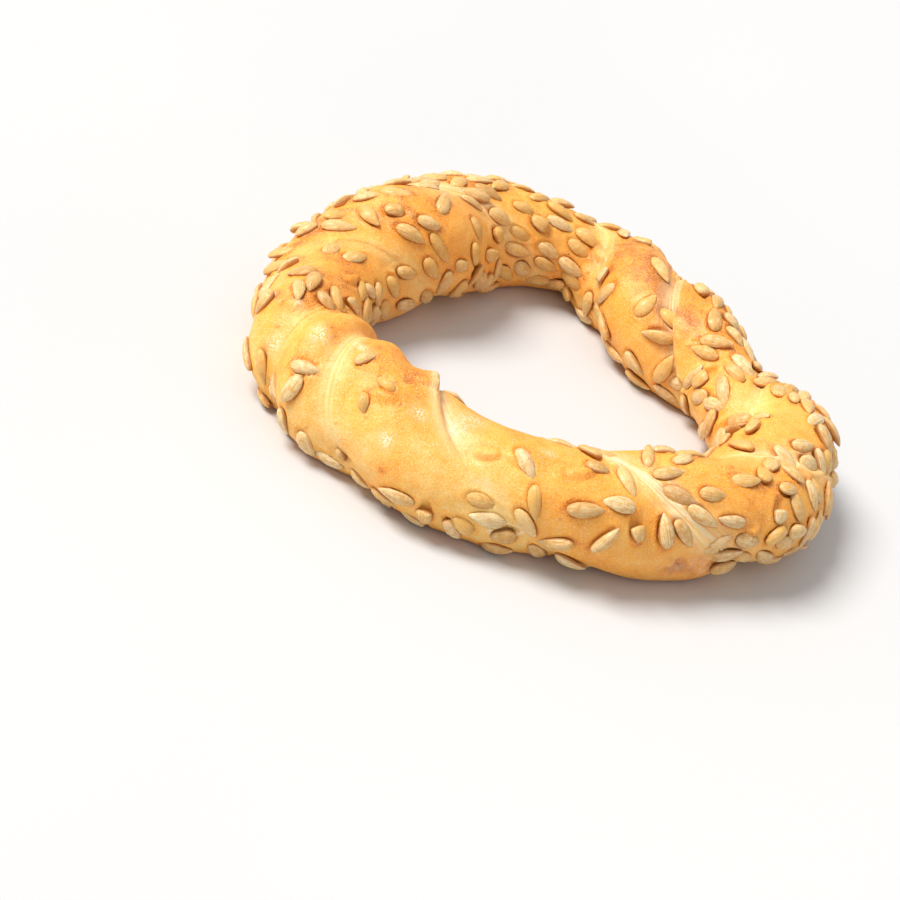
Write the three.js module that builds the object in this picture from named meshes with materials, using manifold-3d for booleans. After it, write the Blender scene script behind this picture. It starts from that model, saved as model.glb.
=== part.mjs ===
// A simit: two strands of dough twisted into a rope, closed into a ring and baked as one
// piece, with sunflower kernels half sunk in its crust. Millimetres, +Z up, lying on z = 0.
// "along" is the angle round the ring in degrees, from +X towards +Y.
// "around" is the angle round the rope in degrees: 0 faces away from the hole, 90 is the
// top, 180 faces the hole and 270 is the underside.
import * as THREE from "three";
import { mergeVertices } from "three/addons/utils/BufferGeometryUtils.js";
import Module from "manifold-3d";

// The rope's centre line and its radius, every 30 degrees along
const lineRadius = [67, 57, 53, 68, 65, 58, 65, 68, 63, 57, 57, 63];
const ropeRadius = [15.5, 13, 15.5, 12.5, 15, 18, 14, 16, 15.5, 15, 15.5, 15.5];

// Where the seams between the two strands cross the top, in degrees along
const seamCrossings = [-138, -112, -62, -18, 20, 61, 88, 134, 177, 209];
const halfTurn = 180;

// Shares of the rope's radius
const strandOffset = 0.2;
const strandRadius = 0.86;
const restHeight = 0.87; // the centre line's height, so that the underside lies flat

// The dough's grid
const stepsPerHalfTurn = 11;
const aroundSteps = 20;

// A sunflower kernel, and how it sits in the crust
const kernelLength = 9;
const kernelWidth = 4.4;
const kernelThickness = 2.6;
const kernelTaper = 0.3; // how much narrower than its middle the pointed half grows
const kernelLift = 0.3; // its centre's height over the crust
const kernelSides = 8;
const kernelRings = 5;
const socketGap = 0.3;

// Kernels by the side of the ring that they lie on: [along, around, heading] in degrees.
// A heading of 0 points along the rope and 90 points up round it.
const kernelPlaces = {
  front: [
    [-131.5, 77, 60], [-123.5, 70, 178], [-124.5, 46, -50], [-111, -13, 186], [-96, 14, 0],
    [-92.5, -4, 180], [-97.5, -18, 150], [-89.5, 65, -47], [-85, 33, -74], [-85, 9, -43],
    [-77, -5, 205], [-68, 12, 58], [-74, 36, 8], [-66, 46, 175], [-71.5, 82, -2],
    [-64, 74, -76], [-52.5, 87, 8], [-51, 64, -20], [-45.5, 44, -31], [-54, 25, 104],
    [-49.5, 26, -45], [-66.5, 120, 5], [-55.5, 113, 70], [-80, 116, -15], [-72, -34, -12],
  ],
  right: [
    [-43, 64, -10], [-38.5, 38, 168], [-41, 11, 45], [-34.5, 17, -15], [-34, 74, -18],
    [-22.5, 54, -10], [-10.5, 62, -50], [-1.5, 63, -117], [-13.5, 36, 90], [4, 50, -120],
    [22.5, 144, 150], [27.5, 102, 190], [38, 115, 227], [44.5, 97, -42],
  ],
  back: [
    [60, 143, -88], [52.5, 157, 22], [67, 99, 174], [93.5, 120, 166], [105, 153, 165],
    [113, 110, 166], [114.5, 141, 165], [123.5, 93, 140], [134, 110, 147], [133, 165, 165],
  ],
  left: [
    [148.5, 109, -145], [154, 142, 114], [160.5, 121, 128], [157, 80, 127], [168, 166, 110],
    [-178, 86, 170], [-179, 112, 153], [-171, 38, -80], [-158, 78, -20], [-138, 32, 28],
  ],
};

const doughLook = { color: 0xe0a24c, roughness: 0.6, metalness: 0 };
const kernelLook = { color: 0xd9bc8f, roughness: 0.55, metalness: 0 };

const wasm = await Module();
wasm.setup();

function toSolid(geometry) {
  geometry.deleteAttribute("normal");
  geometry.deleteAttribute("uv");
  const merged = mergeVertices(geometry);
  const vertProperties = new Float32Array(merged.attributes.position.array);
  const triVerts = new Uint32Array(merged.index.array);
  return new wasm.Manifold(new wasm.Mesh({ numProp: 3, vertProperties, triVerts }));
}

function toGeometry(solid) {
  const mesh = solid.getMesh();
  const geometry = new THREE.BufferGeometry();
  geometry.setAttribute("position", new THREE.BufferAttribute(mesh.vertProperties, 3));
  geometry.setIndex(new THREE.BufferAttribute(mesh.triVerts, 1));
  geometry.computeVertexNormals();
  return geometry;
}

// The centre line, and a curve that holds the rope's radius in its x
const linePoints = lineRadius.map((radius, index) => {
  const angle = (2 * Math.PI * index) / lineRadius.length;
  return new THREE.Vector3(radius * Math.cos(angle), radius * Math.sin(angle), 0);
});
const centreLine = new THREE.CatmullRomCurve3(linePoints, true, "catmullrom");
const radiusPoints = ropeRadius.map((radius) => new THREE.Vector3(radius, 0, 0));
const radiusCurve = new THREE.CatmullRomCurve3(radiusPoints, true, "catmullrom");

// Seam crossing number k, counted on past one lap of the ring
function crossing(k) {
  const count = seamCrossings.length;
  return seamCrossings[THREE.MathUtils.euclideanModulo(k, count)] + 360 * Math.floor(k / count);
}

// How far the strands have turned, in degrees: half a turn from each crossing to the next,
// with a smooth change of rate at every crossing
function twist(along) {
  let k = seamCrossings.length * Math.floor((along - seamCrossings[0]) / 360);
  while (crossing(k + 1) <= along) k += 1;
  const spacing = (n) => crossing(n + 1) - crossing(n);
  const slope = (n) => (halfTurn / spacing(n - 1) + halfTurn / spacing(n)) / 2;
  const s = (along - crossing(k)) / spacing(k);
  const rise = halfTurn * (3 * s ** 2 - 2 * s ** 3);
  const ease = spacing(k) * (slope(k) * (s ** 3 - 2 * s ** 2 + s) + slope(k + 1) * (s ** 3 - s ** 2));
  return halfTurn * k + rise + ease;
}

// A point of the crust: the outline of two overlapping strands, flattened where it rests
function crustPoint(along, around) {
  const share = THREE.MathUtils.euclideanModulo(along, 360) / 360;
  const centre = centreLine.getPoint(share);
  const tangent = centreLine.getTangent(share);
  const radius = radiusCurve.getPoint(share).x;
  const turn = THREE.MathUtils.degToRad(around - halfTurn + twist(along));
  const reach = Math.abs(Math.cos(turn));
  const side = strandOffset * Math.sin(turn);
  const wall = radius * (strandOffset * reach + Math.sqrt(strandRadius ** 2 - side ** 2));
  const angle = THREE.MathUtils.degToRad(around);
  const outwards = wall * Math.cos(angle);
  const height = restHeight * radius + wall * Math.sin(angle);
  return new THREE.Vector3(
    centre.x + tangent.y * outwards,
    centre.y - tangent.x * outwards,
    Math.max(height, 0),
  );
}

// A torus whose rows of vertices follow the strands, so that the seams are sharp, with as
// many steps from each seam crossing to the next
function makeDough() {
  const alongSteps = stepsPerHalfTurn * seamCrossings.length;
  const geometry = new THREE.TorusGeometry(lineRadius[0], ropeRadius[0], aroundSteps, alongSteps);
  const position = geometry.attributes.position;
  for (let index = 0; index < position.count; index += 1) {
    const halfTurns = (index % (alongSteps + 1)) / stepsPerHalfTurn;
    const k = Math.floor(halfTurns);
    const along = THREE.MathUtils.lerp(crossing(k), crossing(k + 1), halfTurns - k);
    const row = (360 * Math.floor(index / (alongSteps + 1))) / aroundSteps;
    const point = crustPoint(along, row + halfTurn - twist(along));
    position.setXYZ(index, point.x, point.y, point.z);
  }
  return toSolid(geometry);
}

// A teardrop along X, grown by a margin on every side
function makeKernel(margin) {
  const geometry = new THREE.SphereGeometry(1, kernelSides, kernelRings);
  const position = geometry.attributes.position;
  for (let index = 0; index < position.count; index += 1) {
    const lengthwise = position.getY(index);
    const narrowing = 1 - kernelTaper * lengthwise;
    position.setXYZ(
      index,
      lengthwise * (kernelLength / 2 + margin),
      -position.getX(index) * (kernelWidth / 2 + margin) * narrowing,
      position.getZ(index) * (kernelThickness / 2 + margin) * narrowing,
    );
  }
  return geometry;
}

// The matrix that lays a kernel on the crust
function kernelMatrix(along, around, heading) {
  const step = 0.5;
  const here = crustPoint(along, around);
  const alongWay = crustPoint(along + step, around).sub(here).normalize();
  const aroundWay = crustPoint(along, around + step).sub(here).normalize();
  const normal = new THREE.Vector3().crossVectors(alongWay, aroundWay).normalize();
  const pointing = alongWay.applyAxisAngle(normal, THREE.MathUtils.degToRad(heading));
  const sideways = new THREE.Vector3().crossVectors(normal, pointing);
  const place = here.addScaledVector(normal, kernelLift);
  return new THREE.Matrix4().makeBasis(pointing, sideways, normal).setPosition(place);
}

const simit = new THREE.Group();
let dough = makeDough();
for (const [side, places] of Object.entries(kernelPlaces)) {
  places.forEach(([along, around, heading], index) => {
    const matrix = kernelMatrix(along, around, heading);
    dough = dough.subtract(toSolid(makeKernel(socketGap).applyMatrix4(matrix)));
    const kernel = new THREE.Mesh(
      toGeometry(toSolid(makeKernel(0).applyMatrix4(matrix))),
      new THREE.MeshStandardMaterial(kernelLook),
    );
    kernel.name = `kernel_${side}_${index + 1}`;
    simit.add(kernel);
  });
}
const doughRing = new THREE.Mesh(toGeometry(dough), new THREE.MeshStandardMaterial(doughLook));
doughRing.name = "dough_ring";
simit.add(doughRing);

// The origin is under the middle of the whole simit
const middle = new THREE.Box3().setFromObject(simit).getCenter(new THREE.Vector3());
simit.position.set(-middle.x, -middle.y, 0);

export default simit;
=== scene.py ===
import math

import bpy
import numpy as np
from mathutils import Matrix, Vector


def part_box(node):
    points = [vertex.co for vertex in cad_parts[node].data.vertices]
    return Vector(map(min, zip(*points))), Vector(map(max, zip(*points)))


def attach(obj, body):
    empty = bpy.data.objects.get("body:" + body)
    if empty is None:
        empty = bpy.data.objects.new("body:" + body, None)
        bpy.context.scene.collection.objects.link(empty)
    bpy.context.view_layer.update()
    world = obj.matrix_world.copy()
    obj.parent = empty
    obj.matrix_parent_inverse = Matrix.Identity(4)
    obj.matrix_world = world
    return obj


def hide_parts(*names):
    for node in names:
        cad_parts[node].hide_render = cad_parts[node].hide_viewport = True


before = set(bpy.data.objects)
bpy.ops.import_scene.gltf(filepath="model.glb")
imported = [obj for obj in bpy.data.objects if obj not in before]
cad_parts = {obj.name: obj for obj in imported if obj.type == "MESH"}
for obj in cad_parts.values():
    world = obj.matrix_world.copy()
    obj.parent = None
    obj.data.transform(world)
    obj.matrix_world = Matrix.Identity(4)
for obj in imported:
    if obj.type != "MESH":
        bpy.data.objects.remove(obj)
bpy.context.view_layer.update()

# A twisted simit on a pale floor. Shapes are worked out in millimetres and put in meshes in
# metres. "along" is the angle round the ring in degrees, from +X towards +Y. "around" is the
# angle round the rope: 0 faces away from the hole, 90 is the top, 180 faces the hole, and 270
# is the underside. A kernel's heading is 0 along the rope and 90 up round it.

mm = 0.001
kernelNodes = sorted(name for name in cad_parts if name.startswith("kernel_"))

dough = {
    "lineRadius": [67, 57, 53, 68, 65, 58, 65, 68, 63, 57, 57, 63],  # every 30 degrees along
    "ropeRadius": [15.5, 13, 15.5, 12.5, 15, 18, 14, 16, 15.5, 15, 15.5, 15.5],
    # each seam: where it crosses the top; how far the strand before it stands up and the one
    # after it sinks, mm; how far the crease is filled, mm; how pale the stretched skin is; the
    # middle and the reach of all this, around the rope
    "seams": [
        (-138, -0.5, -0.2, 1.2, 0.42, 64, 80),
        (-112, 2.6, 1.7, 0.5, 1.0, 122, 58),
        (-62, 0.5, 0.3, 1.2, 0.9, 75, 90),
        (-18, 0.9, 0.4, 0.5, 0.5, 80, 90),
        (20, 0.8, 1.3, 0.0, 0.3, 110, 90),
        (61, 1.5, 1.6, 0.0, 0.7, 135, 75),
        (88, 0.5, 0.4, 0.9, 0.3, 110, 70),
        (134, 0.6, 0.3, 0.9, 0.6, 100, 90),
        (177, 0.3, 0.2, 1.3, 0.12, 100, 90),
        (209, 0.15, 0.1, 1.2, 0.1, 90, 90),
    ],
    # half turns of the strands: how far a seam's lifted sides, its filling, its step and its
    # rolled edge reach, and how far into the lifted side that edge lies
    "sideReach": 0.2, "fillReach": 0.1, "stepReach": 0.02, "edgeReach": 0.022, "edgePlace": 0.014,
    "edgeRoll": 1.6,  # degrees round the rope for each mm that the side stands up
    "strandOffset": 0.2, "strandRadius": 0.86, "restHeight": 0.87,  # shares of the rope radius
    "restBlend": 1.2,  # mm over which the flat underside rounds off
    "stepsAlong": 640, "stepsAround": 150,
    "lumps": [(19, 0.7), (7.5, 0.3), (2.6, 0.1)],  # size and height of the crust's bumps, mm
    # along, around, half widths, mm: where the rope is fatter or thinner
    "swells": [
        (-117.5, 124, 8, 46, 3.2), (-97, 118, 9, 40, -1.2), (-149.5, 124, 8, 36, -1.3),
        (-135, 126, 5, 34, 0.9), (-150, 70, 9, 40, -0.6), (74, 110, 10, 45, 0.7),
        (48, 100, 8, 50, -0.5), (-30, 20, 14, 40, 0.5), (165, 60, 12, 40, 0.5),
    ],
    # along, around, half widths, amount: where the crust is browner or paler than usual
    "browned": [
        (76, 115, 10, 42, 0.12), (-124, 92, 8, 26, 0.12), (150, 80, 26, 34, 0.06),
        (100, 110, 20, 50, -0.14), (-52, -30, 16, 16, 0.26), (-40, 50, 14, 34, 0.02),
        (-80, 84, 12, 24, 0.08), (-20, 80, 14, 30, 0.05), (5, 100, 16, 40, -0.1),
        (-121.5, 88, 0.9, 4, 0.5), (-115.5, 3, 0.9, 4, 0.6), (-112, 30, 20, 32, -0.16),
        (-132, -5, 14, 36, -0.2), (-95, -5, 14, 30, -0.2), (-160, 70, 16, 50, 0.12),
        (66, 110, 22, 50, 0.2), (-66, 60, 6, 40, -0.16), (-172, 105, 10, 34, 0.08),
        (165, 80, 30, 50, 0.03), (-126, 80, 14, 50, 0.11), (50, 100, 14, 50, 0.17),
        (12, 125, 8, 40, -0.18), (35, 160, 10, 40, -0.15), (130, 30, 60, 36, 0.1),
    ],
    # along, around, heading: sockets that kernels fell out of
    "sockets": [(-88, -12, 20), (-157, 26, 80)],
    "socketSize": (8, 3.8, 2), "socketPress": (-1.3, 0.4),  # mm, inside the outline and round it
    # along, around, half widths, amount: flaked skin, and skin torn into a rough hollow
    "flaked": [
        (-117, 30, 1.4, 7, 0.9), (-114.5, 67, 1.7, 6, 0.8), (-141.5, 62, 2.2, 6, 0.9),
        (-147.5, 20, 1.4, 11, 0.7), (-152, 60, 2.6, 4, 0.6), (-104, 100, 3, 12, 0.6),
        (-107, 78, 2.2, 14, 0.7), (-135, 88, 3, 4, 0.8), (-84, 84, 1.6, 5, 0.6),
    ],
    "torn": [(-47, -14, 5, 14, 1.0), (-40, -20, 4, 12, 0.6)],
    "tornCell": 2.8, "tornHeight": 2.3, "tornDepth": 0.8,  # mm
    # along, around, heading: kernels under the skin
    "buried": [
        (-98, 63, 15), (-92, 66, 170), (-157, 62, 95), (-118, 100, 200), (-122, 60, 20),
        (-76, 70, 20), (-168, 120, 150), (-152, 58, 60), (-34, 24, 40), (12, 60, 30),
        (84, 130, 150), (66, 70, 170),
    ],
    "buriedSize": (8, 3.6, 2), "buriedPress": (0.85, -0.3),
    "kernelPress": (-1.1, 0.3),  # mm that kernels move the crust, inside and round them
}


def fromMiddle(angle, middle):
    # the signed angle from a middle, between -180 and 180 degrees
    return np.mod(angle - middle + 180, 360) - 180


def unit(vectors):
    # the vectors, each divided by its length
    return vectors / np.linalg.norm(vectors, axis=-1, keepdims=True)


def catmullRom(values, share):
    # an even, closed Catmull-Rom curve through the values, at a share of the way round
    values = np.asarray(values, float)
    place = np.mod(share, 1.0) * len(values)
    first = np.floor(place).astype(int)
    t = place - first
    if values.ndim > 1:
        t = t[..., None]
    before, start, end, after = (values[(first + shift) % len(values)] for shift in (-1, 0, 1, 2))
    return 0.5 * (
        2 * start + (end - before) * t
        + (2 * before - 5 * start + 4 * end - after) * t**2
        + (3 * start - before - 3 * end + after) * t**3
    )


def latticeNoise(points, cell, seed):
    # smooth noise from -1 to 1: random values on a cubic lattice, eased between the corners.
    # The large odd numbers scatter the corners over the table of values.
    values = np.random.default_rng(seed).uniform(-1, 1, 4096)
    place = points / cell
    corner = np.floor(place).astype(np.int64)
    t = place - corner
    t = t * t * (3 - 2 * t)
    total = np.zeros(points.shape[:-1])
    for offset in np.ndindex(2, 2, 2):
        near = corner + np.array(offset)
        key = (near[..., 0] * 73856093) ^ (near[..., 1] * 19349663) ^ (near[..., 2] * 83492791)
        weight = np.prod(np.where(np.array(offset) == 1, t, 1 - t), axis=-1)
        total += values[key % 4096] * weight
    return total


def seamTurn(along):
    # how far the strands have turned, in half turns: one from each crossing to the next, by a
    # cubic whose rate at a crossing is the mean of the rates on its two sides
    crossings = np.array([seam[0] for seam in dough["seams"]], float)
    knots = np.concatenate([crossings + lap for lap in (-720, -360, 0, 360, 720)])
    spacing = np.diff(knots)
    rate = np.zeros(len(knots))
    rate[1:-1] = (1 / spacing[:-1] + 1 / spacing[1:]) / 2
    k = np.searchsorted(knots, along, side="right") - 1
    s = (along - knots[k]) / spacing[k]
    ease = rate[k] * (s**3 - 2 * s**2 + s) + rate[k + 1] * (s**3 - s**2)
    return k - 2 * len(crossings) + 3 * s**2 - 2 * s**3 + spacing[k] * ease


def ropeFrame(along):
    # the centre line's place, its direction away from the hole and the rope's radius
    radius = np.array(dough["lineRadius"], float)
    angle = np.radians(np.arange(len(radius)) * 30)
    line = np.stack([radius * np.cos(angle), radius * np.sin(angle)], -1)
    share = along / 360
    centre = catmullRom(line, share)
    ahead = unit(catmullRom(line, share + 1e-4) - catmullRom(line, share - 1e-4))
    outwards = np.stack([ahead[..., 1], -ahead[..., 0]], -1)
    return centre, outwards, catmullRom(dough["ropeRadius"], share)


def bell(value, reach):
    # exp(-(value / reach)^2)
    return np.exp(-(value / reach)**2)


def nearestSeam(along, around):
    # the strands' turn in half turns, whole numbers being the seams, how far the nearest seam
    # is on either side, how much of it shows, and its rise, drop, fill and paleness. It fades
    # round the rope from its middle as a bell.
    turn = (around - 90) / 180 + seamTurn(along)
    seam = np.round(turn).astype(int)
    table = np.array(dough["seams"], float)[np.mod(seam, len(dough["seams"]))]
    rise, drop, fill, paleness, middle, reach = np.moveaxis(table[..., 1:], -1, 0)
    shown = bell(fromMiddle(around, middle), reach)
    return turn, turn - seam, shown, rise, drop, fill, paleness


def crust(along, around, relief=True):
    # a point of the crust. The section is the outline of two overlapping discs that turn with
    # the strands: radius x (offset |sin turn| + root(strand^2 - (offset cos turn)^2)). The
    # relief is a filled step with a rolled edge at each seam, swellings, bumps of three sizes
    # and the torn hollow. Heights within the blend of zero are eased to a flat underside by
    # (height + blend)^2 / 4 blend.
    along, around = np.broadcast_arrays(np.asarray(along, float), np.asarray(around, float))
    centre, outwards, radius = ropeFrame(along)
    turn, side, shown, rise, drop, fill, _ = nearestSeam(along, around)
    reach = np.abs(np.sin(np.pi * turn))
    across = dough["strandOffset"] * np.cos(np.pi * turn)
    wall = radius * (dough["strandOffset"] * reach + np.sqrt(dough["strandRadius"]**2 - across**2))
    roll = 0
    if relief:
        near = bell(side, dough["sideReach"]) * (1 - 4 * side**2)**2
        before = 0.5 - 0.5 * np.tanh(side / dough["stepReach"])
        edge = bell(side + dough["edgePlace"] * np.sign(rise), dough["edgeReach"])
        wall = wall + shown * fill * bell(side, dough["fillReach"])
        wall += shown * near * (rise * before - drop * (1 - before))
        wall += patches(along, around, dough["swells"])
        roll = dough["edgeRoll"] * shown * rise * edge
    angle = np.radians(around + roll)

    def place(wall):
        flat = centre + outwards * (wall * np.cos(angle))[..., None]
        height = dough["restHeight"] * radius + wall * np.sin(angle)
        blend = dough["restBlend"]
        rounded = np.where(height > blend, height, (height + blend)**2 / (4 * blend))
        height = np.where(height < -blend, 0, rounded)
        return np.concatenate([flat, height[..., None]], -1)

    if relief:
        points = place(wall)
        for number, (size, lift) in enumerate(dough["lumps"]):
            wall = wall + lift * latticeNoise(points, size, 11 + number)
        rough = dough["tornHeight"] * latticeNoise(points, dough["tornCell"], 31) - dough["tornDepth"]
        wall = wall + patches(along, around, dough["torn"]) * rough
    return place(wall)


def patches(along, around, rows):
    # a sum of soft round patches, each its amount at its middle
    total = np.zeros(along.shape)
    for middleAlong, middleAround, halfAlong, halfAround, amount in rows:
        a = fromMiddle(along, middleAlong) / halfAlong
        b = fromMiddle(around, middleAround) / halfAround
        total += amount * np.exp(-(a**2 + b**2))
    return total


def crustFrame(along, around):
    # places on the crust, with unit vectors along the rope, round it and out of it, from the
    # differences of places a small step before and after on the smooth crust
    alongStep, aroundStep = 1.5, 3
    smooth = lambda a, b: crust(a, b, relief=False)
    ahead = unit(smooth(along + alongStep, around) - smooth(along - alongStep, around))
    up = smooth(along, around + aroundStep) - smooth(along, around - aroundStep)
    out = unit(np.cross(ahead, up))
    return crust(along, around), ahead, np.cross(out, ahead), out


kernels = {
    "length": 9.2, "width": 4.1, "thickness": 2.6,  # mm
    "blunt": 0.52, "pointed": 0.8,  # powers for the two ends: a lower one is rounder
    "widest": 0.394,  # share of the length from the blunt end
    "spread": 0.09,  # how much sizes vary
    "uneven": 0.045, "bend": 0.35,  # how uneven the skin is, and mm that the ends bend sideways
    "tilt": 4, "strongTilt": 14, "strongShare": 0.1,  # degrees, and how many tilt strongly
    "raised": 0.35,  # mm out of the crust, for those not in the frame
    "lift": (-0.25, 0.45),  # mm out of the crust at random, for all
    "bigGrid": (12, 9), "smallGrid": (10, 6),  # faces round and along: from the frame, and the rest
    "discs": (-2.4, 0, 2.4),  # mm down the length: three discs stand for a kernel
    "gap": 3.05, "lowest": 2.2,  # mm between thrown kernels' discs, and over the floor
    "handPlaced": [  # along, around, heading, share of the length that is left
        (-137, 13, -92, 0.95), (-137, -23, -75, 1), (-147, -5, -60, 1), (-142.5, -9, -10, 1),
        (-143, -28, -30, 0.8), (-131.5, -28, -60, 1), (-127, -38, -10, 0.9), (-162.5, 69, -105, 1),
        (-156, 31, -75, 1), (-155.5, 64, -8, 1), (-153, 88, 35, 0.9), (-155, 104, 25, 1),
        (-168, 136, 15, 1), (-158, 127, -60, 1), (-165, 154, 30, 1), (-174, 148, 130, 1),
        (-179, 160, 60, 0.8), (171, 188, 110, 1), (-105.4, -16, 100, 0.55), (-99.5, -25, 130, 0.8),
        (-88.5, -44, 0, 1), (-107, -44, -10, 0.8), (-88, -21, 180, 0.9), (-113, -48, -20, 0.6),
        (-72.5, 106, -50, 0.8), (-50, 124, 0, 1), (-61.5, 28, 110, 0.5), (-47, 104, 20, 0.8),
        (-43.5, 117, 0, 1), (-27, 75, 33, 0.9), (-21.5, 84, 20, 0.7), (-18.5, 68, -88, 1),
        (-15.5, 84, -90, 1), (-9, 80, -40, 1), (-5, 47, -100, 1), (-1, 38, -110, 1),
        (-10, 18, 60, 1), (-16, 6, 50, 1), (-19, -13, 40, 1), (-38, -2, 20, 1), (-28, 20, 30, 0.7),
        (-33, -8, -30, 0.7), (-22, 36, -90, 0.9), (-9.5, 131, 0, 0.7), (15.5, 90, 150, 0.8),
        (8, 76, 160, 1), (13, 64, 140, 1), (24, 68, 100, 1), (18, 178, 100, 1),
        (11.5, 156, 60, 0.7), (34.5, 163, -95, 1), (25, 119, 190, 0.8), (27, 170, 220, 0.8),
        (30, 150, -100, 0.6), (21, 162, 200, 0.9), (38, 84, 190, 1), (56, 74, 150, 0.7),
        (51, 66, 120, 1), (34, 70, 190, 1), (54, 132, 182, 0.9), (55, 198, 150, 1),
        (46.5, 187, -95, 1), (33, 205, 100, 1), (43, 215, 160, 1), (70, 163, 60, 0.9),
        (75, 157, 90, 0.55), (76, 196, 90, 1), (88.5, 203, 150, 0.7), (95, 139, 166, 1),
        (96, 164, 165, 1), (92, 180, 165, 0.9), (104.5, 172, 165, 1), (107.5, 127, 160, 0.55),
        (103, 118, 170, 1), (103, 100, 160, 1), (115, 161, 165, 1), (124, 186, 100, 1),
        (141, 179, 100, 1), (131, 196, 95, 0.8), (140.5, 137, 95, 1), (174, 71, 115, 1),
        (167, 86, 80, 1), (163, 66, 140, 1), (161, 98, 145, 0.7), (155.5, 120, 137, 0.9),
        (163, 158, 151, 1), (156, 160, 120, 1), (151, 178, 90, 1), (160.5, 197, 150, 0.8),
        (153, 200, 130, 0.6), (144, 194, 100, 1), (147.5, 165, 150, 0.6), (143, 158, 110, 0.8),
        (176, 44, 140, 0.7), (171, 60, 150, 1), (139, 66, 170, 1), (148, 50, 160, 1),
        (143, 76, 150, 0.8), (152, 62, 140, 1), (-124, -20, 20, 0.45),
    ],
    # along, around, half widths, how many, heading, how much headings vary, and how far the
    # zone leans along for each degree around
    "zones": [
        (-12, 42, 18, 38, 34, -40, 60, 0), (2, 5, 20, 32, 26, -20, 60, 0),
        (-26, -10, 12, 18, 7, 0, 60, 0), (28, 70, 22, 22, 24, 185, 60, 0),
        (30, 140, 10, 36, 8, 150, 60, -0.1), (108, 165, 22, 30, 10, 165, 30, 0),
        (112, 100, 20, 26, 7, 165, 40, 0), (112, 60, 34, 14, 20, 170, 40, 0),
        (146, 50, 20, 12, 12, 160, 60, 0), (-170, 185, 18, 24, 10, 120, 50, 0),
        (-164, 5, 16, 26, 8, 180, 60, 0), (-128, -44, 20, 10, 5, -40, 40, 0),
        (-92, -50, 24, 8, 4, 0, 40, 0), (52, 5, 30, 40, 32, 170, 60, 0),
        (108, 12, 34, 36, 38, 170, 60, 0), (165, 0, 22, 34, 15, 170, 60, 0),
        (-75, 165, 45, 28, 13, 0, 70, 0), (-8, 155, 20, 32, 8, 60, 70, 0),
        (48, 205, 30, 20, 8, 170, 60, 0), (115, 200, 30, 14, 8, 170, 60, 0),
    ],
    # share of the length left, and glaze, of those in the frame that lie partly in the crust
    "sunk": {
        "kernel_front_1": (0.66, 0.3), "kernel_front_2": (0.6, 0.85), "kernel_front_3": (0.6, 0.4),
        "kernel_front_9": (1, 0.7), "kernel_front_10": (1, 0.45), "kernel_front_16": (0.95, 0.4),
        "kernel_front_15": (0.85, 0), "kernel_left_10": (0.78, 0.15), "kernel_front_8": (1, 0),
        "kernel_front_12": (1, 0.1),
    },
    "glazeSpread": 0.28, "glazeMost": 0.85,
    "toast": (-0.2, 0.34), "toastMost": 0.75,  # the middle and spread of browning; below 0 is none
    "seed": 42,
}


def placesFromFrame():
    # each CAD kernel's middle, its longest axis, pointing to its slimmer end, and its shortest
    # axis, pointing away from the middle of the rope
    places = []
    for name in kernelNodes:
        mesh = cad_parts[name].data
        points = np.zeros(len(mesh.vertices) * 3)
        mesh.vertices.foreach_get("co", points)
        points = np.unique(np.round(points.reshape(-1, 3) / mm, 4), axis=0)
        boxMiddle = (points.max(0) + points.min(0)) / 2
        middle = points.mean(0)
        offset = points - middle
        pointing, sideways, out = np.linalg.svd(offset, full_matrices=False)[2]
        along = math.degrees(math.atan2(boxMiddle[1] - shift[1], boxMiddle[0] - shift[0]))
        centre, _, radius = ropeFrame(np.array(along))
        rope = np.append(centre, dough["restHeight"] * radius) + shift
        if out @ (boxMiddle - rope) < 0:
            out = -out
        if (offset @ pointing * (offset @ sideways)**2).sum() > 0:
            pointing = -pointing
        places.append((middle, pointing, out))
    return [np.array(column) for column in zip(*places)]


def scatteredPlaces(taken):
    # the listed kernels, then others thrown at random in each zone and kept where the
    # discs down their length clear the discs of those already there
    random = np.random.default_rng(kernels["seed"])
    found = np.array(kernels["handPlaced"], float)
    discs = [taken[0] + taken[1] * reach for reach in kernels["discs"]]
    discs = np.concatenate([*discs, *discsAt(*found[:, :3].T)])
    throws = 14  # for each kernel that a zone wants; three in ten are turned end for end, and
    # about one in eight is broken, with 45 to 70% of its length left
    for along, around, halfAlong, halfAround, count, heading, vary, lean in kernels["zones"]:
        tries = count * throws
        b = around + random.uniform(-1, 1, tries) * halfAround
        a = along + random.uniform(-1, 1, tries) * halfAlong + lean * (b - around)
        h = heading + random.normal(0, vary, tries) + 180 * (random.random(tries) < 0.3)
        left = np.where(random.random(tries) < 0.88, 1, random.uniform(0.45, 0.7, tries))
        kept = []
        for number, own in enumerate(discsAt(a, b, h)):
            # mm from the middles of its own discs to the nearest of the others
            gap = np.linalg.norm(own[:, None] - discs[None], axis=-1).min()
            if gap > kernels["gap"] and own[:, 2].min() > kernels["lowest"]:
                discs = np.concatenate([discs, own])
                kept.append(number)
            if len(kept) == count:
                break
        found = np.concatenate([found, np.stack([a, b, h, left], -1)[kept]])
    return found


def layKernels(along, around, heading):
    # middles on the crust, with unit vectors pointing down the kernels' length and out of the
    # crust: pointing is cos heading along the rope and sin heading up round it
    here, ahead, up, out = crustFrame(along, around)
    turned = np.radians(heading)[:, None]
    return here + shift, ahead * np.cos(turned) + up * np.sin(turned), out


def discsAt(along, around, heading):
    # three places down the length of each kernel
    middle, pointing, _ = layKernels(along, around, heading)
    return np.stack([middle + pointing * reach for reach in kernels["discs"]], 1)


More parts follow.
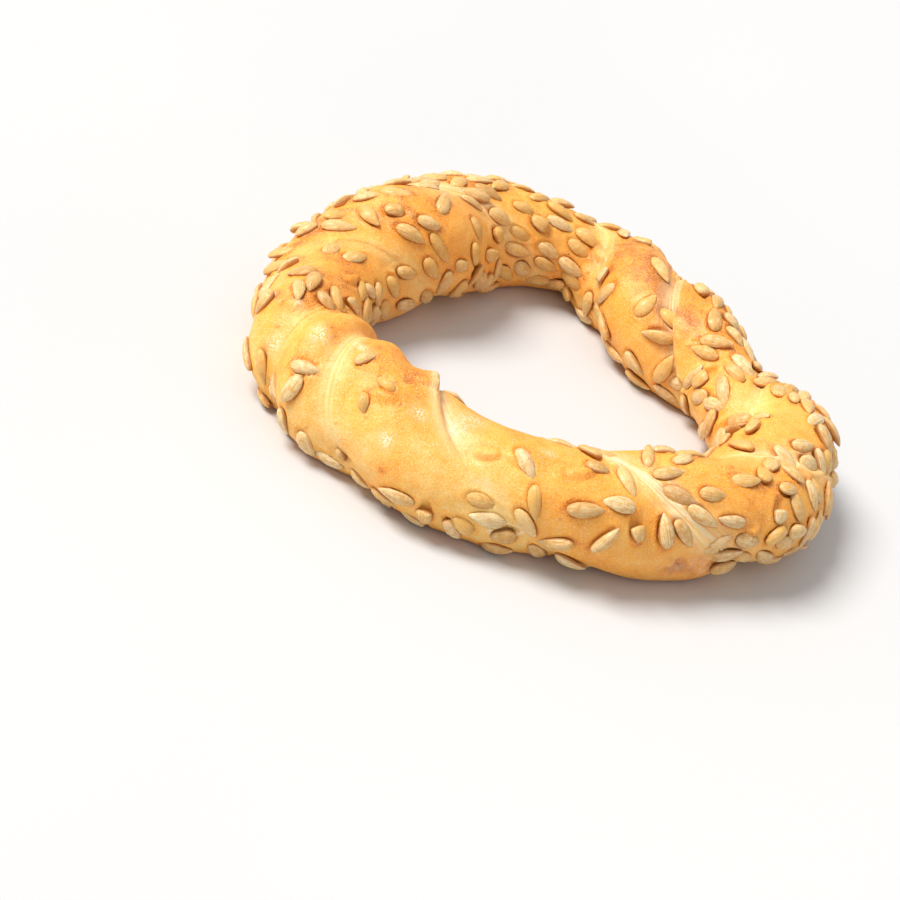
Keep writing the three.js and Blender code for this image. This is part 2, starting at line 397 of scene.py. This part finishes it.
# the CAD ring's middle, against the formula's: both rings are then in the same place
alongGrid = np.linspace(0, 360, 361)[:, None]
bare = crust(alongGrid, np.linspace(0, 360, 121)[None], relief=False).reshape(-1, 3)
cadLow, cadHigh = (np.array(corner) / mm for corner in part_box("dough_ring"))
shift = (cadLow + cadHigh) / 2 - (bare.min(0) + bare.max(0)) / 2
shift[2] = 0
print("ring shifted by", np.round(shift, 2), "mm")

cadPlaces = placesFromFrame()
thrown = scatteredPlaces(cadPlaces)
print("kernels:", len(kernelNodes), "from the frame,", len(thrown), "more")


def shapesAt(rows, size):
    # middles, axes and sizes of kernel shapes lying on the crust
    middle, pointing, out = layKernels(*np.array(rows, float).T)
    return middle, pointing, np.cross(out, pointing), out, np.tile(size, (len(middle), 1))


def allPlaces():
    # every kernel's middle, three axes and size, the share of its length that is left, and its
    # own glaze, where it has one. Its way out is tilted by the tangents of two random angles,
    # and its pointing is made square to that again.
    random = np.random.default_rng(kernels["seed"] + 1)
    here, pointing, out = layKernels(*thrown[:, :3].T)
    middle = np.concatenate([cadPlaces[0], here + out * kernels["raised"]])
    pointing = np.concatenate([cadPlaces[1], pointing])
    out = np.concatenate([cadPlaces[2], out])
    left = np.concatenate([np.ones(len(kernelNodes)), thrown[:, 3]])
    count = len(middle)
    sideways = np.cross(out, pointing)
    strong = random.random(count) < kernels["strongShare"]
    tilt = np.where(strong, kernels["strongTilt"], kernels["tilt"])
    pitch, roll = np.radians(random.normal(size=(2, count)) * [tilt, tilt + 2])[..., None]
    out = unit(out + sideways * np.tan(roll) + pointing * np.tan(pitch))
    pointing = unit(pointing - out * (pointing * out).sum(1, keepdims=True))
    sideways = np.cross(out, pointing)
    lift = random.uniform(*kernels["lift"], count)[:, None]
    size = 1 + kernels["spread"] * random.normal(size=(count, 3)).clip(-1.8, 1.8)
    size *= [kernels["length"], kernels["width"], kernels["thickness"]]
    ownGlaze = np.full(count, np.nan)
    for name, (share, glaze) in kernels["sunk"].items():
        number = kernelNodes.index(name)
        size[number] *= [share, share**0.3, 1]
        ownGlaze[number] = glaze
    return middle + out * lift, pointing, sideways, out, size, left, ownGlaze


places = allPlaces()


def newMaterial(name):
    material = bpy.data.materials.new(name)
    material.use_nodes = True
    tree = material.node_tree
    tree.nodes.clear()
    output = tree.nodes.new("ShaderNodeOutputMaterial")
    shader = tree.nodes.new("ShaderNodeBsdfPrincipled")
    tree.links.new(shader.outputs["BSDF"], output.inputs["Surface"])
    return material, tree, shader


def node(tree, kind, inputs=None, **settings):
    made = tree.nodes.new(kind)
    for key, value in settings.items():
        setattr(made, key, value)
    for key, value in (inputs or {}).items():
        if isinstance(value, bpy.types.NodeSocket):
            tree.links.new(value, made.inputs[key])
        else:
            made.inputs[key].default_value = value
    return made


def attribute(tree, name):
    return node(tree, "ShaderNodeAttribute", attribute_name=name)


def noise(tree, vector, scale, detail=3.0, roughness=0.55, **settings):
    inputs = {"Vector": vector, "Scale": scale, "Detail": detail, "Roughness": roughness}
    return node(tree, "ShaderNodeTexNoise", inputs, **settings).outputs["Fac"]


def maths(tree, operation, first, second=0.0, third=0.0, clamp=False):
    inputs = {0: first, 1: second, 2: third}
    return node(tree, "ShaderNodeMath", inputs, operation=operation, use_clamp=clamp).outputs[0]


def spread(tree, value, low, high, to=(0.0, 1.0)):
    inputs = {"Value": value, "From Min": low, "From Max": high, "To Min": to[0], "To Max": to[1]}
    return node(tree, "ShaderNodeMapRange", inputs, interpolation_type="SMOOTHSTEP").outputs[0]


def mix(tree, share, first, second):
    made = tree.nodes.new("ShaderNodeMix")
    made.data_type = "RGBA"
    for key, value in ((0, share), (6, first), (7, second)):
        if isinstance(value, bpy.types.NodeSocket):
            tree.links.new(value, made.inputs[key])
        elif key == 0:
            made.inputs[key].default_value = value
        else:
            made.inputs[key].default_value = (*value, 1)
    return made.outputs[2]


def ramp(tree, value, stops):
    made = node(tree, "ShaderNodeValToRGB", {"Fac": value})
    band = made.color_ramp
    while len(band.elements) < len(stops):
        band.elements.new(0.5)
    for element, (place, colour) in zip(band.elements, stops):
        element.position = place
        element.color = (*colour, 1)
    return made.outputs["Color"]


def bump(tree, height, distance, strength, normal=None):
    inputs = {"Height": height, "Distance": distance, "Strength": strength}
    if normal is not None:
        inputs["Normal"] = normal
    return node(tree, "ShaderNodeBump", inputs).outputs["Normal"]


crustLook = {
    "stops": [  # from unbrowned to browned
        (0.0, (0.94, 0.68, 0.31)), (0.25, (0.94, 0.565, 0.155)), (0.45, (0.94, 0.46, 0.075)),
        (0.66, (0.93, 0.39, 0.045)), (0.85, (0.84, 0.29, 0.023)), (1.0, (0.52, 0.16, 0.012)),
    ],
    "stretched": (0.95, 0.83, 0.54),
    "torn": (0.95, 0.84, 0.62),
    "fleck": (0.97, 0.86, 0.60),
    "blister": (0.74, 0.28, 0.03),
    "speck": (0.10, 0.05, 0.02),
    # how much clouds, mottle, grain and streaks change the browning
    "amounts": (0.9, 0.55, 0.66, 0.08),
    # height in mm and strength
    "bumps": {
        "mottle": (0.4, 0.6), "streaks": (0.6, 0.8), "grain": (0.14, 0.8), "pits": (0.15, 0.6),
        "blister": (0.4, 0.6),
    },
}


def crustMaterial():
    # browning from clouds, mottle and grain, with pale flecks, stretched and torn skin over it
    material, tree, shader = newMaterial("baked_crust")
    place = node(tree, "ShaderNodeTexCoord").outputs["Object"]
    strand = attribute(tree, "strand").outputs["Vector"]
    lap = attribute(tree, "lap").outputs["Fac"]
    brown = attribute(tree, "brown").outputs["Fac"]
    pale = attribute(tree, "pale").outputs["Fac"]
    torn = attribute(tree, "torn").outputs["Fac"]

    clouds = noise(tree, place, 75, 3)
    mottle = noise(tree, place, 330, 4, 0.62)
    grain = noise(tree, place, 1900, 2, 0.5)
    pits = noise(tree, place, 3400, 1, 0.5)
    streaks = noise(tree, strand, 1.0, 3, 0.62, noise_dimensions="4D")
    tree.links.new(lap, streaks.node.inputs["W"])

    amount = brown
    for layer, share in zip((clouds, mottle, grain, streaks), crustLook["amounts"]):
        amount = maths(tree, "MULTIPLY_ADD", layer, share, maths(tree, "ADD", amount, -share / 2))
    colour = ramp(tree, amount, crustLook["stops"])
    colour = mix(tree, spread(tree, pits, 0.60, 0.72, (0, 0.55)), colour, crustLook["fleck"])

    stretched = maths(tree, "MULTIPLY", pale, spread(tree, streaks, 0.30, 0.60), clamp=True)
    colour = mix(tree, stretched, colour, crustLook["stretched"])
    tornShare = maths(tree, "MULTIPLY", torn, spread(tree, grain, 0.44, 0.56), clamp=True)
    colour = mix(tree, tornShare, colour, crustLook["torn"])

    # small browned blisters and a few dark specks
    blisters = node(tree, "ShaderNodeTexVoronoi", {"Vector": place, "Scale": 300.0}, feature="F1")
    blister = spread(tree, blisters.outputs["Distance"], 0.04, 0.30, (1, 0))
    cell = node(tree, "ShaderNodeSeparateColor", {"Color": blisters.outputs["Color"]}).outputs[0]
    blister = maths(tree, "MULTIPLY", blister, spread(tree, cell, 0.84, 0.9))
    colour = mix(tree, maths(tree, "MULTIPLY", blister, 0.5), colour, crustLook["blister"])
    specks = node(tree, "ShaderNodeTexVoronoi", {"Vector": place, "Scale": 190.0}, feature="F1")
    speck = spread(tree, specks.outputs["Distance"], 0.03, 0.07, (1, 0))
    cell = node(tree, "ShaderNodeSeparateColor", {"Color": specks.outputs["Color"]}).outputs[1]
    speck = maths(tree, "MULTIPLY", speck, spread(tree, cell, 0.965, 0.97))
    colour = mix(tree, speck, colour, crustLook["speck"])

    tree.links.new(colour, shader.inputs["Base Color"])
    tree.links.new(spread(tree, mottle, 0.3, 0.7, (0.36, 0.58)), shader.inputs["Roughness"])
    shader.inputs["Subsurface Weight"].default_value = 0.2
    shader.inputs["Subsurface Radius"].default_value = (1.0, 0.45, 0.18)
    shader.inputs["Subsurface Scale"].default_value = 0.0025
    layers = {"mottle": mottle, "streaks": streaks, "grain": grain, "pits": pits, "blister": blister}
    normal = None
    for name, (height, strength) in crustLook["bumps"].items():
        if name == "streaks":  # these only show on stretched skin
            strength = maths(tree, "MULTIPLY", pale, strength)
        normal = bump(tree, layers[name], height * mm, strength, normal)
    tree.links.new(normal, shader.inputs["Normal"])
    return material


kernelLook = {
    "pale": (0.97, 0.74, 0.40),
    "tan": (0.85, 0.49, 0.14),
    "rim": (0.97, 0.80, 0.50),
    "stripe": (0.68, 0.35, 0.085),
    # browning, also used as painted shade on each kernel's lower half
    "toastAndShade": (0.50, 0.20, 0.035),
    "glaze": (0.90, 0.50, 0.11),
}


def kernelMaterial():
    # pale to tan with brown stripes down the length and a pale rim, then glaze, then toasting,
    # and brown over the lower half where the kernel meets the crust: partly glaze, partly painted
    # shade
    material, tree, shader = newMaterial("sunflower_kernel")
    place = node(tree, "ShaderNodeTexCoord").outputs["Object"]
    grainWay = attribute(tree, "grain").outputs["Vector"]
    lengthwise = attribute(tree, "lengthwise").outputs["Fac"]
    crosswise = attribute(tree, "crosswise").outputs["Fac"]
    tone = attribute(tree, "tone").outputs["Fac"]
    toast = attribute(tree, "toast").outputs["Fac"]
    upward = attribute(tree, "upward").outputs["Fac"]

    fibres = noise(tree, grainWay, 1.0, 4, 0.65)
    mottle = noise(tree, place, 750, 3, 0.6)
    spots = noise(tree, place, 2600, 2)
    shade = maths(tree, "MULTIPLY_ADD", mottle, 3.2, maths(tree, "ADD", tone, -1.6), clamp=True)
    body = mix(tree, shade, kernelLook["pale"], kernelLook["tan"])
    body = mix(tree, spread(tree, fibres, 0.46, 0.66, (0, 0.75)), body, kernelLook["stripe"])
    edge = spread(tree, maths(tree, "ABSOLUTE", crosswise), 0.80, 0.97, (0, 0.4))
    body = mix(tree, edge, body, kernelLook["rim"])
    tip = spread(tree, lengthwise, 0.78, 1.0, (0, 0.5))
    body = mix(tree, tip, body, kernelLook["rim"])
    body = mix(tree, spread(tree, spots, 0.62, 0.72, (0, 0.5)), body, kernelLook["stripe"])
    body = mix(tree, attribute(tree, "glaze").outputs["Fac"], body, kernelLook["glaze"])
    browned = maths(tree, "MULTIPLY_ADD", mottle, 0.8, maths(tree, "ADD", toast, -0.4), clamp=True)
    colour = mix(tree, maths(tree, "MULTIPLY", browned, 0.8), body, kernelLook["toastAndShade"])
    # painted shade, partly glaze: the lower half of each kernel, where it meets the crust, goes
    # toward the brown
    colour = mix(tree, spread(tree, upward, 0.0, 0.45, (0.75, 0)), colour, kernelLook["toastAndShade"])
    tree.links.new(colour, shader.inputs["Base Color"])
    tree.links.new(spread(tree, mottle, 0.3, 0.7, (0.24, 0.4)), shader.inputs["Roughness"])
    shader.inputs["Coat Weight"].default_value = 0.3
    shader.inputs["Coat Roughness"].default_value = 0.25
    shader.inputs["Subsurface Weight"].default_value = 0.25
    shader.inputs["Subsurface Radius"].default_value = (1.0, 0.5, 0.25)
    shader.inputs["Subsurface Scale"].default_value = 0.001
    normal = bump(tree, fibres, 0.0005, 0.9)
    normal = bump(tree, mottle, 0.0004, 0.7, normal)
    tree.links.new(normal, shader.inputs["Normal"])
    return material


def floorMaterial():
    material, tree, shader = newMaterial("pale_floor")
    place = node(tree, "ShaderNodeTexCoord").outputs["Object"]
    tint = spread(tree, noise(tree, place, 3, 2), 0.3, 0.7, (0.0, 1.0))
    colour = mix(tree, tint, (0.62, 0.62, 0.63), (0.64, 0.64, 0.645))
    tree.links.new(colour, shader.inputs["Base Color"])
    shader.inputs["Roughness"].default_value = 0.75
    return material


def addMesh(name, points, faces, material):
    mesh = bpy.data.meshes.new(name)
    mesh.from_pydata(points, [], faces)
    mesh.shade_smooth()
    mesh.materials.append(material)
    piece = bpy.data.objects.new(name, mesh)
    bpy.context.scene.collection.objects.link(piece)
    return piece


def addAttribute(piece, name, values, kind="FLOAT"):
    layer = piece.data.attributes.new(name, kind, "POINT")
    field = "value" if kind == "FLOAT" else "vector"
    layer.data.foreach_set(field, values.astype(np.float32).ravel())


def pressShapes(points, shapes, inside, rim):
    # moves the crust along the way out of each kernel. "ring" is the distance from its middle
    # as a share of its outline, which is a quarter slimmer at its tip. The crust moves by
    # "inside" there, easing off from 0.58 to 0.88 of the outline, and by "rim" in a bell round
    # 1.14. Only crust within about 3 mm of it in height and 14 degrees along moves. Also gives
    # how near each point is to an outline, as a bell round 1.05.
    nearness = np.zeros(points.shape[:2])
    for middle, pointing, sideways, out, size in zip(*shapes[:5]):
        along = math.degrees(math.atan2(middle[1] - shift[1], middle[0] - shift[0])) % 360
        first, last = (round((along + reach) / 360 * len(points)) for reach in (-14, 14))
        rows = np.arange(first, last) % len(points)
        offset = points[rows] - middle
        a = offset @ pointing / (size[0] / 2)
        b = offset @ sideways / (size[1] / 2) / (1 - 0.25 * a.clip(-1, 1))
        ring = np.sqrt(a**2 + b**2)
        deep = np.exp(-((offset @ out) / 3.0)**4)
        move = inside * np.clip((0.88 - ring) / 0.3, 0, 1) + rim * bell(ring - 1.14, 0.2)
        points[rows] += out * (move * deep)[..., None]
        nearness[rows] = np.maximum(nearness[rows], deep * bell(ring - 1.05, 0.17))
    return nearness


def makeDough():
    # rows of vertices follow the strands, and are closer together near the seams, because
    # row = row - crowding sin(2 pi row) / 2 pi, in half turns of the strands
    crowding = 0.35
    along = np.linspace(0, 360, dough["stepsAlong"], endpoint=False)[:, None]
    row = np.linspace(0, 2, dough["stepsAround"], endpoint=False)[None]
    row = row - crowding * np.sin(2 * np.pi * row) / (2 * np.pi)
    around = np.mod(90 + 180 * (row - seamTurn(along)) + 90, 360) - 90
    along = np.broadcast_to(along, around.shape)
    points = crust(along, around) + shift
    socketShapes = shapesAt(dough["sockets"], dough["socketSize"])
    buriedShapes = shapesAt(dough["buried"], dough["buriedSize"])
    rims = pressShapes(points, places, *dough["kernelPress"])
    sockets = pressShapes(points, socketShapes, *dough["socketPress"])
    buried = pressShapes(points, buriedShapes, *dough["buriedPress"])
    points[..., 2] = np.maximum(points[..., 2], 0)

    n, m = around.shape
    i, j = np.meshgrid(np.arange(n), np.arange(m), indexing="ij")
    ahead, up = (i + 1) % n, (j + 1) % m
    faces = np.stack([i * m + j, ahead * m + j, ahead * m + up, i * m + up], -1).reshape(-1, 4)
    piece = addMesh("dough_crust", points.reshape(-1, 3) * mm, faces, crustMaterial())

    # stretched skin is wide on the sunk side of a seam, and narrow on the side that stands up,
    # unless the crease is filled
    _, side, shown, rise, _, fill, paleness = nearestSeam(along, around)
    narrow = np.where(fill > 0.45, 0.09, 0.03)
    pale = paleness * shown * bell(side, np.where(side * np.sign(rise) > 0, 0.14, narrow))
    # browner on top, low down within 4 mm of the floor, round kernels, over those under the
    # skin and where it is torn, and paler along the seams
    torn = patches(along, around, dough["torn"])
    underneath = np.clip(1 - points[..., 2] / 4, 0, 1)
    brown = 0.52 + 0.12 * np.sin(np.radians(around)) + patches(along, around, dough["browned"])
    brown += 0.4 * torn + 0.5 * underneath + 0.22 * rims + 0.12 * buried
    brown -= 0.16 * bell(side, 0.1)
    addAttribute(piece, "brown", brown.clip(0, 1))
    addAttribute(piece, "pale", pale)
    addAttribute(piece, "torn", patches(along, around, dough["flaked"]) + 0.3 * torn + sockets)
    # two circles in four dimensions, so that streaks along the strands close without a seam
    lapAngle, rowAngle = np.radians(along), np.pi * row + 0 * along
    strand = np.stack([14 * np.cos(rowAngle), 14 * np.sin(rowAngle), 5 * np.cos(lapAngle)], -1)
    addAttribute(piece, "strand", strand, "FLOAT_VECTOR")
    addAttribute(piece, "lap", 5 * np.sin(lapAngle))
    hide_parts("dough_ring")
    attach(piece, "root")
    return piece


def kernelShapes(chosen, grid, glaze, random):
    # each kernel is a teardrop: at a share s of its length from the blunt end its half width
    # goes as s^blunt (1 - s)^pointed, and at an angle theta round it, across is that x cos theta
    # and its height is that^0.8 x |sin theta|^1.1, nearly an ellipse. It bends sideways and down
    # by the square of s from its middle, and a broken one stops short of its tip.
    middle, pointing, sideways, out, size, left, own = (
        column[chosen][:, None, None] for column in places
    )
    count, (sides, rings) = len(middle), grid
    blunt, pointed, widest = kernels["blunt"], kernels["pointed"], kernels["widest"]
    bend, floorGap = kernels["bend"], 0.15
    share = (1 - np.cos(np.pi * np.arange(rings + 1) / rings))[None, :, None] / 2
    theta = 2 * np.pi * np.arange(sides) / sides
    theta = theta - 0.12 * np.sin(2 * theta)
    s = share * left
    profile = s**blunt * (1 - s)**pointed / (widest**blunt * (1 - widest)**pointed)
    profile[:, [0, -1]] = 0
    brokenEdge = (left < 1) & (share > 0.9) & (share < 1)
    profile = np.where(brokenEdge, profile * 0.9, profile)
    across = profile * np.cos(theta)
    height = profile**0.8 * np.sign(np.sin(theta)) * np.abs(np.sin(theta))**1.1
    uneven = random.normal(size=(count, rings + 1, sides)).clip(-1.5, 1.5)
    uneven = 1 + kernels["uneven"] * uneven
    bent = random.uniform(-bend, bend, (count, 1, 1))
    fromBelly = s - 0.45
    x = size[..., 0] * fromBelly + 0 * across
    y = size[..., 1] / 2 * across * uneven + bent * fromBelly**2 * 4
    z = size[..., 2] / 2 * (height * uneven - 0.7 * fromBelly**2 * 2)
    points = middle + x[..., None] * pointing + y[..., None] * sideways + z[..., None] * out
    points[..., 2] = np.maximum(points[..., 2], floorGap)

    # the first and last rings are single points
    keep = np.ones((count, rings + 1, sides), bool)
    keep[:, [0, -1], 1:] = False
    index = np.cumsum(keep).reshape(keep.shape) - 1
    index[:, [0, -1]] = index[:, [0, -1], :1]
    here, ahead = index[:, :-1], index[:, 1:]
    quads = np.stack([ahead, np.roll(ahead, -1, 2), np.roll(here, -1, 2), here], -1).reshape(-1, 4)
    faces = [list(dict.fromkeys(face)) for face in quads.tolist()]
    each = (count, 1, 1)
    glaze = random.normal(glaze, kernels["glazeSpread"], each).clip(0, kernels["glazeMost"])
    values = {
        "lengthwise": s, "crosswise": np.cos(theta), "upward": np.sin(theta), "across": across,
        "glaze": np.where(np.isnan(own), glaze, own),
        "phase": random.uniform(0, 200, each),
        "tone": random.random(each),
        "toast": random.normal(*kernels["toast"], each).clip(0, kernels["toastMost"]),
    }
    values = {name: np.broadcast_to(value, keep.shape)[keep] for name, value in values.items()}
    return points[keep], faces, values


def makeKernels(name, chosen, nodes, material, glaze, seed):
    # one piece for a side's kernels. Those in the frame come first in "places" and are finer.
    random = np.random.default_rng(seed)
    fromFrame = np.arange(len(chosen)) < len(kernelNodes)
    big = kernelShapes(chosen & fromFrame, kernels["bigGrid"], glaze, random)
    small = kernelShapes(chosen & ~fromFrame, kernels["smallGrid"], glaze, random)
    faces = big[1] + [[corner + len(big[0]) for corner in face] for face in small[1]]
    piece = addMesh(name, np.concatenate([big[0], small[0]]) * mm, faces, material)
    values = {key: np.concatenate([big[2][key], small[2][key]]) for key in big[2]}
    for key in ("lengthwise", "crosswise", "upward", "tone", "toast", "glaze"):
        addAttribute(piece, key, values[key])
    grain = np.stack([values["lengthwise"] * 1.5, values["across"] * 8, values["phase"]], -1)
    addAttribute(piece, "grain", grain, "FLOAT_VECTOR")
    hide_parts(*nodes)
    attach(piece, "root")
    return piece


makeDough()
print("dough made")
kernelFinish = kernelMaterial()
allAlong = np.degrees(np.arctan2(places[0][:, 1], places[0][:, 0]))
# the middle of each side in degrees along, and how glazed its kernels are
quarters = {"front": (-90, 0.05), "right": (0, 0.15), "back": (90, 0.45), "left": (180, 0.35)}
firstSeed = 70
for number, (sideName, (middleAlong, glaze)) in enumerate(quarters.items()):
    fromFrame = np.array([name.split("_")[1] == sideName for name in kernelNodes])
    near = np.abs(fromMiddle(allAlong, middleAlong)) <= 45
    near[:len(kernelNodes)] = fromFrame
    nodes = [name for name, own in zip(kernelNodes, fromFrame) if own]
    makeKernels(f"kernels_{sideName}", near, nodes, kernelFinish, glaze, firstSeed + number)
print("kernels made")

view = {
    "elevation": 35, "roll": 22,  # degrees; the ring's up leans right as the camera sees it
    "distance": 596, "aim": (-17, -52, 14),  # mm, before the ring is shifted
    "lens": 94.6,
}


def cameraTurn():
    # the rows are the ring's x, y and z axes in the camera's frame, so the columns are the
    # camera's right, up and backward axes in the ring's. z is raised by the elevation and
    # rolled, and y is what the camera's forward axis leaves square to z.
    elevation, roll = math.radians(view["elevation"]), math.radians(view["roll"])
    level = math.cos(elevation)
    zAxis = Vector((level * math.sin(roll), level * math.cos(roll), math.sin(elevation)))
    yAxis = (Vector((0, 0, -1)) + zAxis * zAxis.z).normalized()
    return Matrix((yAxis.cross(zAxis), yAxis, zAxis))


cameraAxes = cameraTurn()
aim = Vector(view["aim"]) + Vector(shift)
cameraData = bpy.data.cameras.new("camera")
cameraData.lens = view["lens"]
cameraData.sensor_width = 36
cameraData.clip_start = 0.01
camera = bpy.data.objects.new("camera", cameraData)
cameraPlace = (aim + cameraAxes @ Vector((0, 0, view["distance"]))) * mm
camera.matrix_world = Matrix.Translation(cameraPlace) @ cameraAxes.to_4x4()
bpy.context.scene.collection.objects.link(camera)
bpy.context.scene.camera = camera

half = 3.0  # metres from the middle of the floor to its edges
floorPoints = [(-half, -half, 0), (half, -half, 0), (half, half, 0), (-half, half, 0)]
floor = addMesh("floor", floorPoints, [(0, 1, 2, 3)], floorMaterial())

light = {
    "way": (-0.30, 0.80, 0.50),  # from the simit to the lamp, in the camera's axes
    "strength": 3.8, "softness": 28, "colour": (1.0, 0.98, 0.94), "room": 0.6,
}
lampData = bpy.data.lights.new("lamp", "SUN")
lampData.energy = light["strength"]
lampData.angle = math.radians(light["softness"])
lampData.color = light["colour"]
lamp = bpy.data.objects.new("lamp", lampData)
lamp.rotation_mode = "QUATERNION"
lamp.rotation_quaternion = (cameraAxes @ Vector(light["way"])).to_track_quat("Z", "Y")
bpy.context.scene.collection.objects.link(lamp)

world = bpy.data.worlds.new("pale_room")
world.use_nodes = True
world.node_tree.nodes["Background"].inputs["Color"].default_value = (1.0, 1.0, 1.0, 1)
world.node_tree.nodes["Background"].inputs["Strength"].default_value = light["room"]
bpy.context.scene.world = world
bpy.context.scene.view_settings.view_transform = "Standard"

print("scene made")
